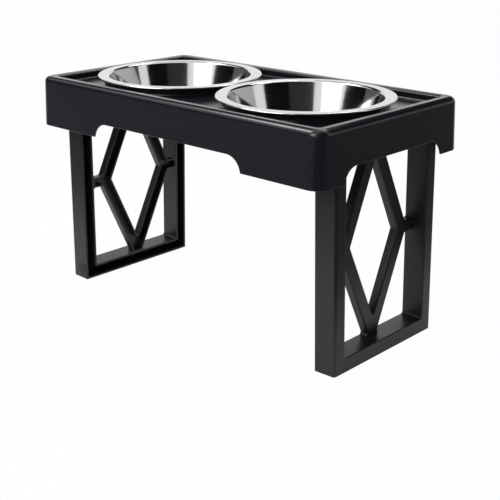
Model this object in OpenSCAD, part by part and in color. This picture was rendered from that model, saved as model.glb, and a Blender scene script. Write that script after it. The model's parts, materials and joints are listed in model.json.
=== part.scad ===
// Raised dog feeder: a moulded tray with two drop-in bowls on two plug-in leg frames.
// Millimetres, +Z up, +X along the tray, origin on the floor under the middle of the tray.

/* [Tray] */
// Height of the tray from the skirt's bottom edge to the top of the rim
tray_h = 67; // [60:1:80]
// Radius of the tray's upright corners
corner_r = 17; // [14:1:26]
// Moulded wall thickness of the tray
wall = 3; // [2:0.5:4]
// Thickness of the deck
deck_t = 3; // [2:0.5:4]
// Depth of the deck below the top of the rim
deck_drop = 10; // [6:0.5:14]
// Width of the rim around the deck
rim_w = 18; // [17:0.5:22]
// Rounding of the rim's outer edge
rim_round_out = 8; // [5:0.5:10]
// Rounding of the rim's inner edge
rim_round_in = 2; // [1:0.5:3]
// Radius of the rim's inner corners
rim_corner_r = 4; // [2:0.5:8]
// Moulding draft in degrees, by which the skirt leans out towards its bottom edge
skirt_draft = 2.5; // [0.5:0.5:3]
// Clear deck between a bowl's edge and the rim, at the ends
end_margin = 5.8; // [4:0.2:24]
// Clear deck between a bowl's edge and the rim, at the sides
side_margin = 6; // [4:0.2:24]

/* [Skirt arches] */
// Height of the arch cut into each side of the skirt
arch_h = 19; // [10:1:22]
// Radius of the arch's shoulders
arch_r = 24; // [22:1:30]
// Straight top of the arch in each long side
long_arch = 221; // [160:1:260]
// Straight top of the arch in each short end
short_arch = 146; // [100:1:150]

/* [Bowls] */
// Diameter over the bowl's rolled edge
bowl_d = 226; // [200:1:240]
// Gap between the two bowls
bowl_gap = 1.6; // [1:0.2:12]
// Width of the bowl's flat flange with its rolled edge
flange_w = 12.5; // [10:0.5:18]
// Depth of the bowl from the top of the flange
bowl_depth = 62; // [50:1:64]
// Diameter of the bowl's flat bottom
bowl_base_d = 130; // [100:1:140]
// Inner radius where the bowl's wall meets its bottom
bowl_base_r = 20; // [12:1:24]
// Radius of the bend under the flange
bowl_bend_r = 2.5; // [2:0.5:5]
// Thickness of the bowl's sheet
bowl_sheet = 1; // [0.8:0.1:1.4]
// Diameter of the rolled edge
bead_d = 2.6; // [2.4:0.2:4.4]

/* [Bowl seats] */
// Height of the collar that carries the flange, above the deck
collar_h = 11.5; // [6:0.5:14]
// Wall thickness of the collar
collar_t = 3; // [2:0.5:4]
// How far the collar reaches in past the flat of the flange
collar_reach = 0.5; // [0.2:0.1:1]
// Gap between the flange and the collar
bowl_seat_gap = 0.1; // [0.05:0.05:0.3]

/* [Leg frames] */
// Height of the leg frame along its slope
leg_h = 290.8; // [250:0.1:340]
// Width of the leg frame
leg_w = 200; // [180:1:210]
// Thickness of the leg frame
leg_t = 31; // [24:1:33]
// Width of the posts and rails
leg_border = 19; // [16:1:24]
// Moulded wall thickness of the leg frame
leg_wall = 3; // [2:0.5:4]
// Depth of the open channel in front of the ribs in the posts and rails
rib_drop = 10; // [4:1:20]
// Rounding of the posts' edges along the outer face
leg_edge_r = 3.5; // [1:0.5:6]
// Height of the lead-in slope at the inner top edge, which also clears the bowl
lead_h = 12; // [10:0.5:14]
// Depth of the lead-in slope
lead_d = 8; // [7:0.5:9]
// Outward lean of the legs in degrees
leg_splay = 1.5; // [0.5:0.1:2]
// How far the feet stand in from the ends of the tray
foot_inset = 0.3; // [0:0.1:3]

/* [Lattice] */
// Width of the diamond opening
diamond_w = 96; // [80:1:104]
// Height of the diamond opening
diamond_h = 205; // [180:1:214]
// Width of the lattice bars
bar_w = 17.5; // [12:0.5:19]
// Depth of the lattice bars, from the open side of the frame
bar_d = 12; // [9:0.5:18]
// Height of the stubs that tie the diamond to the posts
stub_h = 15; // [12:1:20]
// Rounding in the corners of the openings
opening_r = 4; // [2:0.5:6]
// Rounding in the points of the diamond
diamond_r = 2; // [1:0.5:4]
// Wall thickness along the hollow side of the bars
bar_wall = 2.5; // [2:0.25:4]

/* [Pads] */
// Diameter of the round pads
pad_d = 16; // [12:0.5:17]
// Depth of the pad's recess
pad_recess = 1.2; // [0.8:0.1:1.6]
// How far a side pad stands out of its recess
pad_proud = 0.8; // [0.4:0.1:1.2]
// Distance of a pad's centre from the end of its post or rail
pad_end = 15; // [12:1:24]
// Distance of a side pad's centre from the open side of the frame
side_pad_in = 10; // [9.5:0.5:14]
// Gap around a pad in its recess
pad_gap = 0.1; // [0.05:0.05:0.3]
// Height of the lowest edge of the legs above the floor
foot_lift = 0.3; // [0.2:0.1:1]

/* [Sockets] */
// Depth of the sockets under the deck
socket_h = 32; // [20:1:34]
// Wall thickness of the sockets
socket_wall = 2.5; // [2:0.5:4]
// Gap between a leg frame and its socket
socket_gap = 0.4; // [0.3:0.1:0.8]
// Length of the socket's inner wall beside each post
socket_grip = 40; // [24:1:46]
// Distance of the inner pair of bearing ribs from the edge of the leg frame
rib_step = 60; // [30:1:80]
// Gap between the highest edge of a leg frame and the level of the deck's underside
leg_seat_gap = 0.1; // [0.05:0.05:0.3]
// Height of the stiffening rib between the bowls
centre_rib_h = 20; // [10:1:30]

/* [Hidden] */
$fn = 96;

// Steps along a quarter round in an outline
arc_steps = 8;
// Length by which cutters pass a face and ribs sink into the wall that carries them
over = 1;

plastic = "#26272A";
steel = "#C9CBCE";
rubber = "#1A1B1C";

// The tray's plan follows from the two bowls and the clear deck around them
bowl_x = (bowl_d + bowl_gap) / 2;
tray_l = 2 * bowl_d + bowl_gap + 2 * (end_margin + rim_w);
tray_w = bowl_d + 2 * (side_margin + rim_w);

// Heights follow from the leg frames upwards
leg_top_z = foot_lift + leg_t * sin(leg_splay) + leg_h * cos(leg_splay);
deck_under = leg_top_z + leg_seat_gap;
deck_top = deck_under + deck_t;
tray_top = deck_top + deck_drop;
tray_bottom = tray_top - tray_h;
collar_top = deck_top + collar_h;
bowl_z = collar_top + bowl_seat_gap;

// Outer top edge of the right leg frame, from which the frame leans out to its foot
leg_top_x = tray_l / 2 - foot_inset - leg_h * sin(leg_splay);

// Bowl: radius at the inside of the flange, seat and the lean of the wall
mouth_r = bowl_d / 2 - flange_w;
hole_r = mouth_r - collar_reach;
bead_r = bead_d / 2;
bend_centre = [mouth_r, -bowl_bend_r];
base_centre = [bowl_base_d / 2, 2 * bowl_sheet - bowl_depth + bowl_base_r];
bowl_span = bend_centre - base_centre;
wall_lean = acos((bowl_base_r + bowl_bend_r + bowl_sheet) / norm(bowl_span)) - atan2(bowl_span[1], bowl_span[0]);

// Leg frame: half sizes of the opening and of the diamond inside and out
open_w = leg_w / 2 - leg_border;
open_h = leg_h / 2 - leg_border;
in_w = diamond_w / 2;
in_h = diamond_h / 2;
bar_slant = norm([in_w, in_h]) / in_h;
out_w = in_w + bar_w * bar_slant;
out_h = out_w * in_h / in_w;

// Sockets: room beside a post for its proud pad, and the inner face of the side sockets
post_gap = pad_proud + socket_gap;
side_socket_y = tray_w / 2 - wall - leg_t - 2 * socket_gap;

// Points along an arc about a centre, between two angles
function arc(centre, r, from, to, steps = arc_steps) =
  [for (i = [0 : steps]) centre + r * [cos(from + (to - from) * i / steps), sin(from + (to - from) * i / steps)]];

// Outline of a rectangle about the origin with round corners
function round_rect(l, w, r) = concat(
  arc([l / 2 - r, w / 2 - r], r, 0, 90),
  arc([r - l / 2, w / 2 - r], r, 90, 180),
  arc([r - l / 2, r - w / 2], r, 180, 270),
  arc([l / 2 - r, r - w / 2], r, 270, 360)
);

function unit(v) = v / norm(v);

// Arc that rounds corner b between its neighbours a and c
function corner_arc(a, b, c, r) =
  let (u = unit(a - b), v = unit(c - b), half = acos(u * v) / 2)
  let (centre = b + unit(u + v) * r / sin(half))
  let (p = b + u * r / tan(half) - centre, q = b + v * r / tan(half) - centre)
  let (from = atan2(p[1], p[0]), turn = atan2(p[0] * q[1] - p[1] * q[0], p * q))
  arc(centre, r, from, from + turn);

// Outline of a convex polygon with every corner rounded
function round_poly(points, r) =
  let (n = len(points))
  [for (i = [0 : n - 1]) each corner_arc(points[(i + n - 1) % n], points[i], points[(i + 1) % n], r)];

// Slab that lies along Y with its two upper edges rounded
module soft_slab(across, along, t, edge) {
  rotate([90, 0, 0]) linear_extrude(along, center = true) polygon(concat(
    [[-across / 2, 0], [across / 2, 0]],
    arc([across / 2 - edge, t - edge], edge, 0, 90),
    arc([edge - across / 2, t - edge], edge, 90, 180)
  ));
}

// Section of the skirt and the rim's outer edge, measured outwards from the centre of a tray corner
module skirt_section() {
  centre = [corner_r - rim_round_out, tray_top - rim_round_out];
  heel = [cos(skirt_draft), -sin(skirt_draft)];
  outside = centre + rim_round_out * heel;
  inside = centre + (rim_round_out - wall) * heel;
  polygon(concat(
    [[outside[0] + (outside[1] - tray_bottom) * tan(skirt_draft), tray_bottom]],
    arc(centre, rim_round_out, -skirt_draft, 90),
    [[over, tray_top], [over, tray_top - wall]],
    arc(centre, rim_round_out - wall, 90, -skirt_draft),
    [[inside[0] + (inside[1] - tray_bottom) * tan(skirt_draft), tray_bottom]]
  ));
}

// Section of the rim's inner edge and its wall down to the deck, measured from the centre of an inner corner
module lip_section() {
  reach = rim_corner_r + max(wall, rim_round_in) + over;
  polygon(concat(
    [[rim_corner_r, deck_under], [rim_corner_r + wall, deck_under]],
    [[rim_corner_r + wall, tray_top - wall], [reach, tray_top - wall], [reach, tray_top]],
    arc([rim_corner_r + rim_round_in, tray_top - rim_round_in], rim_round_in, 90, 180)
  ));
}

// A section run along the four sides of the tray and round its four corners
module run_round(straight_x, straight_y) {
  for (side = [-1, 1]) {
    translate([side * straight_x, 0, 0]) rotate(side > 0 ? 0 : 180) rotate([90, 0, 0])
      linear_extrude(2 * straight_y, center = true) children();
    translate([0, side * straight_y, 0]) rotate(side * 90) rotate([90, 0, 0])
      linear_extrude(2 * straight_x, center = true) children();
  }
  for (i = [0 : 3]) {
    x = (i == 0 || i == 3) ? 1 : -1;
    y = i < 2 ? 1 : -1;
    translate([x * straight_x, y * straight_y, 0]) rotate(i * 90) rotate_extrude(angle = 90) children();
  }
}

// Skirt and rim: the outer and inner edges, joined by a flat top
module skirt_and_rim() {
  outer_in = corner_r - 2 * over;
  inner_in = rim_w - rim_round_in - over / 2;
  lip_in = rim_w + rim_corner_r;
  run_round(tray_l / 2 - corner_r, tray_w / 2 - corner_r) skirt_section();
  run_round(tray_l / 2 - lip_in, tray_w / 2 - lip_in) lip_section();
  translate([0, 0, tray_top - wall]) linear_extrude(wall) difference() {
    polygon(round_rect(tray_l - 2 * outer_in, tray_w - 2 * outer_in, 2 * over));
    polygon(round_rect(tray_l - 2 * inner_in, tray_w - 2 * inner_in, lip_in - inner_in));
  }
}

// Collar around a bowl hole, with a rounded top edge outside
module collar() {
  outer = hole_r + collar_t;
  edge = collar_t / 3;
  rotate_extrude() polygon(concat(
    [[hole_r - over, deck_under], [outer, deck_under]],
    arc([outer - edge, collar_top - edge], edge, 0, 90),
    [[hole_r - over, collar_top]]
  ));
}

// Arch through one side of the skirt, as a cutter that runs along Y
module arch(top, reach) {
  drop = tray_bottom + arch_h - arch_r;
  shoulder = asin((tray_bottom - over - drop) / arch_r);
  rotate([90, 0, 0]) linear_extrude(reach, center = true) polygon(concat(
    arc([top / 2, drop], arch_r, shoulder, 90),
    arc([-top / 2, drop], arch_r, 90, 180 - shoulder)
  ));
}

// Places children from the right leg frame's own axes: its outer top edge is their origin
module on_right_leg() {
  translate([leg_top_x, 0, leg_top_z]) rotate([0, -leg_splay, 0]) children();
}

// Walls and bearing ribs under the deck that hold the top of the right leg frame
module end_socket() {
  inner_x = -leg_t - socket_gap - socket_wall;
  reach = tray_l / 2 - wall / 4 - leg_top_x;
  post_y = leg_w / 2 + post_gap;
  rib_h = socket_h + 2 * over;
  on_right_leg() for (side = [-1, 1]) {
    translate([inner_x, side * (post_y + socket_wall / 2) - socket_wall / 2, -socket_h])
      cube([reach - inner_x, socket_wall, rib_h]);
    translate([inner_x, side > 0 ? post_y + over - socket_grip : -post_y - over, -socket_h])
      cube([socket_wall, socket_grip, rib_h]);
    for (y = [leg_border / 2, rib_step]) translate([socket_gap, side * (leg_w / 2 - y) - socket_wall / 2, -socket_h])
      cube([reach - socket_gap, socket_wall, rib_h]);
  }
}

// Walls under the deck, behind the front and back skirts, for a leg frame laid on its side
module side_socket() {
  end_x = leg_h / 2 + socket_gap;
  wall_h = socket_h + over;
  for (side = [-1, 1]) {
    translate([-end_x - socket_wall, side * (side_socket_y - socket_wall / 2) - socket_wall / 2, deck_under - socket_h])
      cube([2 * (end_x + socket_wall), socket_wall, wall_h]);
    for (end = [-1, 1]) {
      length = tray_w / 2 - wall / 4 - side_socket_y + socket_wall;
      middle = side_socket_y - socket_wall + length / 2;
      translate([end * (end_x + socket_wall / 2), side * middle, deck_under - socket_h + wall_h / 2])
        cube([socket_wall, length, wall_h], center = true);
    }
  }
}

module tray() {
  color(plastic) difference() {
    union() {
      skirt_and_rim();
      translate([0, 0, deck_under]) linear_extrude(deck_t)
        polygon(round_rect(tray_l - 2 * rim_w + wall, tray_w - 2 * rim_w + wall, rim_corner_r + wall / 2));
      for (side = [-1, 1]) translate([side * bowl_x, 0, 0]) collar();
      end_socket();
      rotate(180) end_socket();
      side_socket();
      translate([-socket_wall / 2, -side_socket_y + socket_wall / 2, deck_under - centre_rib_h])
        cube([socket_wall, 2 * side_socket_y - socket_wall, centre_rib_h + over]);
    }
    for (side = [-1, 1]) {
      translate([side * bowl_x, 0, tray_bottom]) cylinder(r = hole_r, h = tray_h + collar_h);
      translate([0, side * tray_w / 2, 0]) arch(long_arch, 2 * (wall + over));
      translate([side * tray_l / 2, 0, 0]) rotate(90) arch(short_arch, 2 * (wall + over));
    }
  }
}

// Pressed bowl about the Z axis, with the underside of its flange at zero height
module bowl() {
  bead = [bowl_d / 2 - bead_r, bowl_sheet - bead_r];
  color(steel) rotate_extrude() polygon(concat(
    [[0, base_centre[1] - bowl_base_r]],
    arc(base_centre, bowl_base_r, -90, -wall_lean),
    arc(bend_centre, bowl_bend_r + bowl_sheet, 180 - wall_lean, 90),
    arc(bead, bead_r, 90, -180, 3 * arc_steps),
    [[bead[0] - bead_r, 0]],
    arc(bend_centre, bowl_bend_r, 90, 180 - wall_lean),
    arc(base_centre, bowl_base_r + bowl_sheet, -wall_lean, -90),
    [[0, base_centre[1] - bowl_base_r - bowl_sheet]]
  ));
}

module left_bowl() { translate([-bowl_x, 0, bowl_z]) bowl(); }
module right_bowl() { translate([bowl_x, 0, bowl_z]) bowl(); }

// Opening in the corner between a post, a rail, a bar and a stub
function corner_opening() = [
  [open_w, stub_h / 2],
  [open_w, open_h],
  [out_w * (1 - open_h / out_h), open_h],
  [out_w * (1 - stub_h / 2 / out_h), stub_h / 2]
];

// Outline of the lattice's hollow on the open side: it follows the bars, with an arm along each stub
function hollow_outline() =
  let (w = out_w - bar_wall * bar_slant, h = w * in_h / in_w, arm = stub_h / 2 - bar_wall, tip = open_h - bar_wall)
  let (arm_x = w * (1 - arm / h), end_x = open_w - bar_wall, tip_x = w * (1 - tip / h))
  [
    [arm_x, -arm], [end_x, -arm], [end_x, arm], [arm_x, arm], [tip_x, tip], [-tip_x, tip],
    [-arm_x, arm], [-end_x, arm], [-end_x, -arm], [-arm_x, -arm], [-tip_x, -tip], [tip_x, -tip]
  ];

// Diamond about the middle of the frame, from its half width
function diamond(w) = [[w, 0], [0, w * in_h / in_w], [-w, 0], [0, -w * in_h / in_w]];

// Lattice across the frame's opening, with its bars hollow on the open side
module lattice() {
  difference() {
    linear_extrude(bar_d) square([2 * (open_w + over), 2 * (open_h + over)], center = true);
    translate([0, 0, -over]) linear_extrude(bar_d + 2 * over) polygon(round_poly(diamond(in_w), diamond_r));
    for (x = [0, 1], y = [0, 1]) mirror([x, 0, 0]) mirror([0, y, 0])
      translate([0, 0, -over]) linear_extrude(bar_d + 2 * over) polygon(round_poly(corner_opening(), opening_r));
    difference() {
      translate([0, 0, -over]) linear_extrude(bar_d + over - bar_wall)
        polygon(round_poly(hollow_outline(), diamond_r));
      translate([0, 0, -2 * over]) linear_extrude(bar_d + 4 * over)
        polygon(round_poly(diamond(in_w + bar_wall * bar_slant), diamond_r + bar_wall));
    }
  }
}

// Channel along the open side of the posts and rails, and the deeper cells between ribs behind it
module cells() {
  cell_w = leg_border - 2 * leg_wall;
  middle_w = (leg_w - leg_border) / 2;
  middle_h = (leg_h - leg_border) / 2;
  for (side = [-1, 1]) {
    translate([side * middle_w, 0, -over]) linear_extrude(rib_drop + over)
      square([cell_w, leg_h - 2 * leg_wall], center = true);
    translate([0, side * middle_h, -over]) linear_extrude(rib_drop + over)
      square([leg_w - 2 * leg_wall, cell_w], center = true);
  }
  half_rib = leg_wall / 2;
  post_ribs = [0, stub_h / 2, (stub_h / 2 + open_h) / 2, open_h + half_rib, leg_h / 2 - half_rib];
  rail_ribs = [0, open_w / 3, 2 * open_w / 3, open_w + half_rib];
  translate([0, 0, -over]) linear_extrude(leg_t - leg_wall + over)
    for (x = [-1, 1], y = [-1, 1]) {
      for (i = [0 : len(post_ribs) - 2])
        translate([x * middle_w, y * (post_ribs[i] + post_ribs[i + 1]) / 2])
          square([cell_w, post_ribs[i + 1] - post_ribs[i] - leg_wall], center = true);
      for (i = [0 : len(rail_ribs) - 2])
        translate([x * (rail_ribs[i] + rail_ribs[i + 1]) / 2, y * middle_h])
          square([rail_ribs[i + 1] - rail_ribs[i] - leg_wall, cell_w], center = true);
    }
}

// Round pad or its recess, lying in the flat leg frame: under the bottom rail or in the side of a post
module foot_pad(side, r, depth, proud) {
  translate([side * (leg_w / 2 - pad_end), depth - leg_h / 2, leg_t / 2]) rotate([90, 0, 0])
    cylinder(r = r, h = depth + proud);
}
module side_pad(end, r, depth, proud) {
  translate([leg_w / 2 - depth, end * (leg_h / 2 - pad_end), side_pad_in]) rotate([0, 90, 0])
    cylinder(r = r, h = depth + proud);
}

// Cutter for the lead-in slope along the open side of the top rail
module lead_in() {
  translate([-leg_w / 2 - over, leg_h / 2, 0]) rotate([90, 0, 90]) linear_extrude(leg_w + 2 * over)
    polygon([[-2 * lead_h, -lead_d], [lead_h, 2 * lead_d], [lead_h, -lead_d]]);
}

// Leg frame lying flat: width along X, height along Y, open side down, outer face up
module flat_leg() {
  difference() {
    soft_slab(leg_w, leg_h, leg_t, leg_edge_r);
    lead_in();
    translate([0, 0, -over]) linear_extrude(leg_t + 2 * over)
      polygon(round_rect(2 * open_w, 2 * open_h, opening_r));
    cells();
    for (side = [-1, 1]) {
      foot_pad(side, pad_d / 2 + pad_gap, pad_recess, over);
      side_pad(side, pad_d / 2 + pad_gap, pad_recess, over);
    }
  }
  lattice();
}

// Stands a flat leg frame up in its place at the right end, or turned half round at the left end
module stand_right() { on_right_leg() translate([-leg_t, 0, -leg_h / 2]) rotate([90, 0, 90]) children(); }
module stand_left() { rotate(180) stand_right() children(); }

module right_leg() { color(plastic) stand_right() flat_leg(); }
module left_leg() { color(plastic) stand_left() flat_leg(); }

// Everything above the floor, to cut the feet off level with it
module above_floor() { translate([-tray_l, -tray_w, 0]) cube([2 * tray_l, 2 * tray_w, tray_top]); }

module foot(side) { foot_pad(side, pad_d / 2, pad_recess, leg_t * sin(leg_splay) + 2 * foot_lift); }

module right_leg_front_foot() { color(rubber) intersection() { stand_right() foot(-1); above_floor(); } }
module right_leg_back_foot() { color(rubber) intersection() { stand_right() foot(1); above_floor(); } }
module left_leg_front_foot() { color(rubber) intersection() { stand_left() foot(1); above_floor(); } }
module left_leg_back_foot() { color(rubber) intersection() { stand_left() foot(-1); above_floor(); } }

module right_leg_low_side_pad() { color(rubber) stand_right() side_pad(-1, pad_d / 2, pad_recess, pad_proud); }
module right_leg_high_side_pad() { color(rubber) stand_right() side_pad(1, pad_d / 2, pad_recess, pad_proud); }
module left_leg_low_side_pad() { color(rubber) stand_left() side_pad(-1, pad_d / 2, pad_recess, pad_proud); }
module left_leg_high_side_pad() { color(rubber) stand_left() side_pad(1, pad_d / 2, pad_recess, pad_proud); }

tray();
left_bowl();
right_bowl();
left_leg();
right_leg();
left_leg_front_foot();
left_leg_back_foot();
right_leg_front_foot();
right_leg_back_foot();
left_leg_low_side_pad();
left_leg_high_side_pad();
right_leg_low_side_pad();
right_leg_high_side_pad();
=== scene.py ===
"""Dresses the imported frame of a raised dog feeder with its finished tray, bowls, leg frames and pads."""

import json
import math

import bmesh
import bpy
from bpy.props import FloatProperty, FloatVectorProperty, PointerProperty
from bpy.types import Operator, Panel, PropertyGroup
from mathutils import Matrix, Vector


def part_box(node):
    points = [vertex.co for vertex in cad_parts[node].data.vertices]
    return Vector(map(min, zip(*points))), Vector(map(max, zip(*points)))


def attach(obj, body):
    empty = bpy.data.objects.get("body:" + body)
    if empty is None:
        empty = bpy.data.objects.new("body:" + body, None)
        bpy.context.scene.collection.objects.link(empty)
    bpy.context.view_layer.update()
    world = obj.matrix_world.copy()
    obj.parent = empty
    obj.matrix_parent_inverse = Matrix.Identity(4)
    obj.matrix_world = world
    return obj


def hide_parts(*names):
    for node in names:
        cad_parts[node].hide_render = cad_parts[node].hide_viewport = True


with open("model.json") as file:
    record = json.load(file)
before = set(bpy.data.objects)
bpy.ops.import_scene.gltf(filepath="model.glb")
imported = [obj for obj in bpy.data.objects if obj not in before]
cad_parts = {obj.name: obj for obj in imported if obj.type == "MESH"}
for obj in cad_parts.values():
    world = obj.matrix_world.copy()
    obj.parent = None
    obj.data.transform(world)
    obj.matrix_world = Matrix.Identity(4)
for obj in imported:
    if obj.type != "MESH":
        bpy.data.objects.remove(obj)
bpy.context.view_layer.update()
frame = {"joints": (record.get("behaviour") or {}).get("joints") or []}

bl_info = {
    "name": "Raised dog feeder",
    "version": (1, 0, 0),
    "blender": (4, 5, 0),
    "location": "View3D > Sidebar > Feeder",
    "description": "Builds a raised feeder: its tray, steel bowls, lattice leg frames and rubber pads",
    "category": "Object",
}

MM = 0.001

# Steps along a quarter round on an edge, round a corner in an outline and along an arch's shoulder
EDGE_STEPS = 4
CORNER_STEPS = 6
SHOULDER_STEPS = 12

# Steps round a whole bowl or collar, and round a whole pad
TURN_STEPS = 192
PAD_STEPS = 48

# Steps along a bowl's section: round its base, the bend under its flange and its rolled edge
BASE_STEPS = 16
BEND_STEPS = 12
ROLL_STEPS = 24

# Radii of the small faces that close a turned bowl and a turned pad in the middle
BOWL_CAP = 0.2 * MM
PAD_CAP = 0.05 * MM

# Edges between faces that turn by more than this stay crisp
CRISP_ANGLE = math.radians(35)

# Width of the camera's sensor in millimetres, and half the floor's side in metres
SENSOR_WIDTH = 36
FLOOR_REACH = 8

# Strength of the white surroundings as a light; the camera and reflections see them at 1
WORLD_LIGHT = 0.5

# Where the frame puts the tray, the bowls and the right leg frame
TRAY_LOW, TRAY_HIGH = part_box("tray")
BOWL_LOW, BOWL_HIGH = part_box("right_bowl")
LEG_LOW, LEG_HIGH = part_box("right_leg")

# The leg frames slide out along their own slope, so that joint gives their lean
LEG_PULL = next(joint for joint in frame["joints"] if joint["name"] == "right_leg_pull")
LEAN = math.atan2(LEG_PULL["axis"][0], -LEG_PULL["axis"][2])

# Height and depth of a leg frame along its own axes, from the box it fills when it leans
LEG_SPAN = LEG_HIGH - LEG_LOW
LEG_HEIGHT = (LEG_SPAN.z * math.cos(LEAN) - LEG_SPAN.x * math.sin(LEAN)) / math.cos(2 * LEAN)
LEG_DEPTH = (LEG_SPAN.x * math.cos(LEAN) - LEG_SPAN.z * math.sin(LEAN)) / math.cos(2 * LEAN)
LEG_TOP = Vector((LEG_HIGH.x - LEG_HEIGHT * math.sin(LEAN), 0, LEG_HIGH.z))

# From a leg frame lying flat, width along X, height along Y and open side down, to its place at the right
# end of the tray; a half turn takes it on to the left end
LEG_TILT = Matrix.Translation(LEG_TOP) @ Matrix.Rotation(-LEAN, 4, "Y")
LIE_TO_STAND = Matrix(((0, 0, 1, 0), (1, 0, 0, 0), (0, 1, 0, 0), (0, 0, 0, 1)))
STAND_RIGHT = LEG_TILT @ Matrix.Translation((-LEG_DEPTH, 0, -LEG_HEIGHT / 2)) @ LIE_TO_STAND
HALF_TURN = Matrix.Rotation(math.pi, 4, "Z")


def linear(hex_colour):
    """Linear colour with alpha from an sRGB hex value."""
    channels = [int(hex_colour[i:i + 2], 16) / 255 for i in (1, 3, 5)]
    return tuple(c / 12.92 if c <= 0.04045 else ((c + 0.055) / 1.055) ** 2.4 for c in channels) + (1.0,)


def length(name, description, millimetres):
    """Property for a length, with its default in millimetres."""
    size = millimetres * MM
    return FloatProperty(name=name, description=description, default=size, min=0, unit="LENGTH")


def angle(name, description, degrees):
    """Property for an angle, with its default in degrees."""
    turned = math.radians(degrees)
    return FloatProperty(name=name, description=description, default=turned, unit="ROTATION")


def fraction(name, description, value):
    """Property for a value from 0 to 1."""
    return FloatProperty(name=name, description=description, default=value, min=0, max=1, subtype="FACTOR")


def colour(name, description, hex_colour):
    """Property for a colour, with its default as an sRGB hex value."""
    return FloatVectorProperty(
        name=name,
        description=description,
        default=linear(hex_colour),
        size=4,
        min=0,
        max=1,
        subtype="COLOR",
    )


class TraySizes(PropertyGroup):
    """Sizes of the moulded tray that its outer box doesn't give."""

    corner_radius: length("Corner radius", "Radius of the upright corners in plan", 17)
    wall: length("Wall", "Thickness of the moulded walls", 3)
    edge: length("Lower edge", "Rounding of the skirt's lower edge", 0.8)
    draft: angle("Draft", "Slope that lets the skirt leave its mould", 2.5)
    rim_width: length("Rim width", "Width of the rim around the deck", 18)
    rim_outer: length("Rim outer edge", "Rounding of the rim's outer edge", 8)
    rim_inner: length("Rim inner edge", "Rounding of the rim's inner edge", 2)
    rim_crown: length("Rim crown", "Radius by which the rim's top falls towards its inner edge", 45)
    rim_corner: length("Rim inner corner", "Radius of the rim's inner corners in plan", 4)
    deck_drop: length("Deck drop", "Depth of the deck below the top of the rim", 10)
    deck_wall: length("Deck thickness", "Thickness of the deck", 3)
    deck_fillet: length("Deck fillet", "Radius where the deck meets the rim and the collars", 2)
    collar_rise: length("Collar rise", "Height of the bowl collars above the rim", 1.5)
    collar_wall: length("Collar wall", "Thickness of the bowl collars", 3)
    collar_edge: length("Collar edge", "Rounding of the collars' outer edge", 1)
    hole_edge: length("Hole edge", "Rounding of the collars' inner edge, round the holes", 0.5)
    hole_radius: length("Hole radius", "Radius of the holes for the bowls", 100)
    arch_height: length("Arch height", "Height of the arch cut into each side of the skirt", 19)
    arch_shoulder: length("Arch shoulder", "Radius of the shoulders of the arches", 24)
    long_arch: length("Long arch", "Straight top of the arch in a long side", 221)
    short_arch: length("Short arch", "Straight top of the arch in a short end", 146)


class SocketSizes(PropertyGroup):
    """Sizes of the walls and ribs under the deck that hold the leg frames."""

    depth: length("Depth", "Depth of the sockets below the deck", 32)
    wall: length("Wall", "Thickness of the socket walls", 2.5)
    gap: length("Gap", "Gap between a leg frame and its socket", 0.4)
    post_gap: length("Post gap", "Gap beside a post, with room for its pad", 1.2)
    grip: length("Grip", "Length of the socket's inner wall beside each post", 40)
    edge_rib: length("Edge rib", "Distance of the outer bearing ribs from the leg frame's edge", 9.5)
    inner_rib: length("Inner rib", "Distance of the inner bearing ribs from the leg frame's edge", 60)
    centre_rib: length("Centre rib", "Height of the stiffening rib between the bowls", 20)
    sink: length("Sink", "How far the walls and ribs run up into the deck", 2)
    edge: length("Edge", "Rounding of the free edges of walls and ribs", 0.5)


class BowlSizes(PropertyGroup):
    """Sizes of the pressed bowls that their outer box doesn't give."""

    flange_width: length("Flange width", "Width of the flat flange with its rolled edge", 12.5)
    bead: length("Rolled edge", "Diameter of the rolled edge", 2.6)
    bend: length("Bend", "Radius of the bend under the flange", 2.5)
    base_diameter: length("Base diameter", "Diameter of the flat bottom", 130)
    base_radius: length("Base radius", "Inner radius where the wall meets the bottom", 20)
    sheet: length("Sheet", "Thickness of the steel", 1)


class LegSizes(PropertyGroup):
    """Sizes of the leg frames that their outer box doesn't give."""

    border: length("Border", "Width of the posts and rails", 19)
    wall: length("Wall", "Thickness of the moulded walls", 3)
    rib_drop: length("Rib drop", "Depth of the open channel in front of the ribs", 10)
    lead_height: length("Lead-in height", "Height of the slope at the inner top edge", 12)
    lead_depth: length("Lead-in depth", "Depth of the slope at the inner top edge", 8)
    post_edge: length("Post edge", "Rounding of the posts along the outer face", 3.5)
    end_edge: length("End edge", "Rounding of the rails' ends along the outer face", 0.5)
    channel_round: length("Channel rounding", "Radius in the corners of the open channel", 1)
    opening_round: length("Opening rounding", "Radius in the corners of the openings", 4)
    opening_edge: length("Opening edge", "Rounding of the openings' edges", 1.2)
    cell_edge: length("Cell edge", "Rounding of the edges on the open side", 0.4)
    diamond_width: length("Diamond width", "Width of the diamond opening", 96)
    diamond_height: length("Diamond height", "Height of the diamond opening", 205)
    diamond_round: length("Diamond rounding", "Radius in the points of the diamond", 2)
    bar_width: length("Bar width", "Width of the lattice bars", 17.5)
    bar_depth: length("Bar depth", "Depth of the lattice bars from the open side", 12)
    bar_wall: length("Bar wall", "Wall along the hollow side of the bars", 2.5)
    bar_edge: length("Bar edge", "Rounding of the bars' edges on the outer side", 2)
    stub_height: length("Stub height", "Height of the stubs between the diamond and the posts", 15)


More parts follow.
